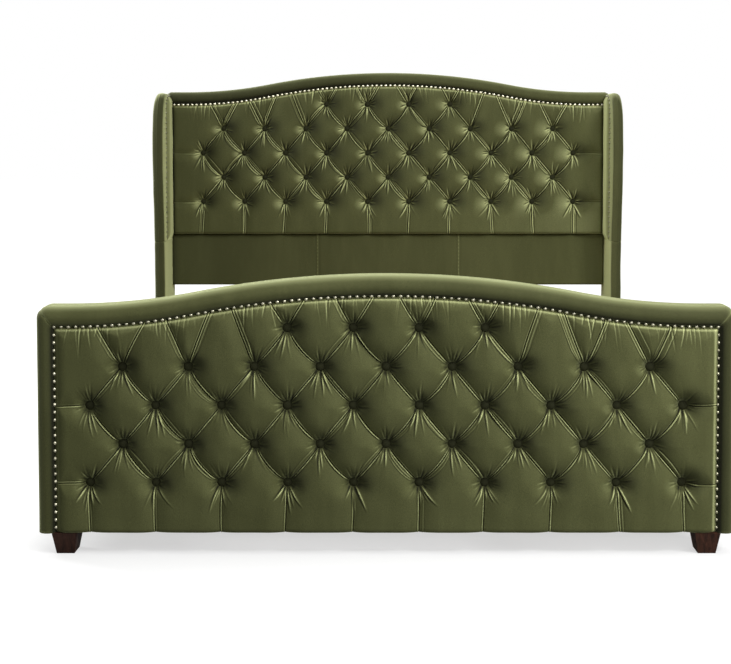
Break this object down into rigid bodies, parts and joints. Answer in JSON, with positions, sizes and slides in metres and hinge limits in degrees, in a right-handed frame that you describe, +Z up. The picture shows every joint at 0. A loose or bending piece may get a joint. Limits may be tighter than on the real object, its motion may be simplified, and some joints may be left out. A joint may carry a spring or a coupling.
{
  "type": "upholstered bed",
  "caption": "Winged upholstered bed frame with diamond-tufted camel-back headboard and footboard, padded side rails and a slatted base that carries a mattress.",
  "frame": {"origin": "centre of the overall footprint, on the floor", "axes": "+Z up, +Y from the footboard towards the headboard, +X to the right seen from the foot end"},
  "size_m": [1.754, 2.218, 1.2538],
  "materials": {
    "velvet": "olive green velvet with a short pile",
    "button_velvet": "covered buttons in the same velvet",
    "nail_metal": "polished nail heads",
    "dark_wood": "dark brown stain, satin",
    "plywood": "raw plywood",
    "frame_timber": "planed softwood",
    "slat_wood": "planed softwood",
    "steel": "zinc plated",
    "glide_plastic": "black moulded nylon"
  },
  "bodies": {
    "bed": {"centre_beam": "slat_wood", "centre_leg_1": "slat_wood", "centre_leg_2": "slat_wood", "foot_bolts": "steel", "footboard_back_cover": "velvet", "footboard_bottom_rail": "frame_timber", "footboard_buttons": "button_velvet", "footboard_panel": "plywood", "footboard_top_border": "velvet", "footboard_top_rail": "frame_timber", "footboard_tufted_pad": "velvet", "headboard_back_cover": "velvet", "headboard_bolts": "steel", "headboard_bottom_rail": "frame_timber", "headboard_buttons": "button_velvet", "headboard_lower_panel": "velvet", "headboard_panel": "plywood", "headboard_top_border": "velvet", "headboard_top_rail": "frame_timber", "headboard_tufted_pad": "velvet", "left_footboard_side_border": "velvet", "left_footboard_stile": "frame_timber", "left_front_foot": "dark_wood", "left_headboard_stile": "frame_timber", "left_post_cover": "velvet", "left_rail_board": "frame_timber", "left_rail_bracket": "steel", "left_rail_cover": "velvet", "left_slat_ledger": "slat_wood", "left_wing_board": "plywood", "left_wing_cover": "velvet", "left_wing_inner_pad": "velvet", "rail_bolts": "steel", "rear_glides": "glide_plastic", "right_footboard_side_border": "velvet", "right_footboard_stile": "frame_timber", "right_front_foot": "dark_wood", "right_headboard_stile": "frame_timber", "right_post_cover": "velvet", "right_rail_board": "frame_timber", "right_rail_bracket": "steel", "right_rail_cover": "velvet", "right_slat_ledger": "slat_wood", "right_wing_board": "plywood", "right_wing_cover": "velvet", "right_wing_inner_pad": "velvet", "slat_01": "slat_wood", "slat_02": "slat_wood", "slat_03": "slat_wood", "slat_04": "slat_wood", "slat_05": "slat_wood", "slat_06": "slat_wood", "slat_07": "slat_wood", "slat_08": "slat_wood", "slat_09": "slat_wood", "slat_10": "slat_wood", "slat_11": "slat_wood"},
    "leveller_1": {"leveller_1": "glide_plastic"},
    "leveller_2": {"leveller_2": "glide_plastic"}
  },
  "joints": [
    {"name": "leveller_1_screw", "type": "slide", "parent": "bed", "child": "leveller_1", "axis": [0, 0, -1], "range_m": [0, 0.015]},
    {"name": "leveller_2_screw", "type": "slide", "parent": "bed", "child": "leveller_2", "axis": [0, 0, -1], "range_m": [0, 0.015]}
  ]
}
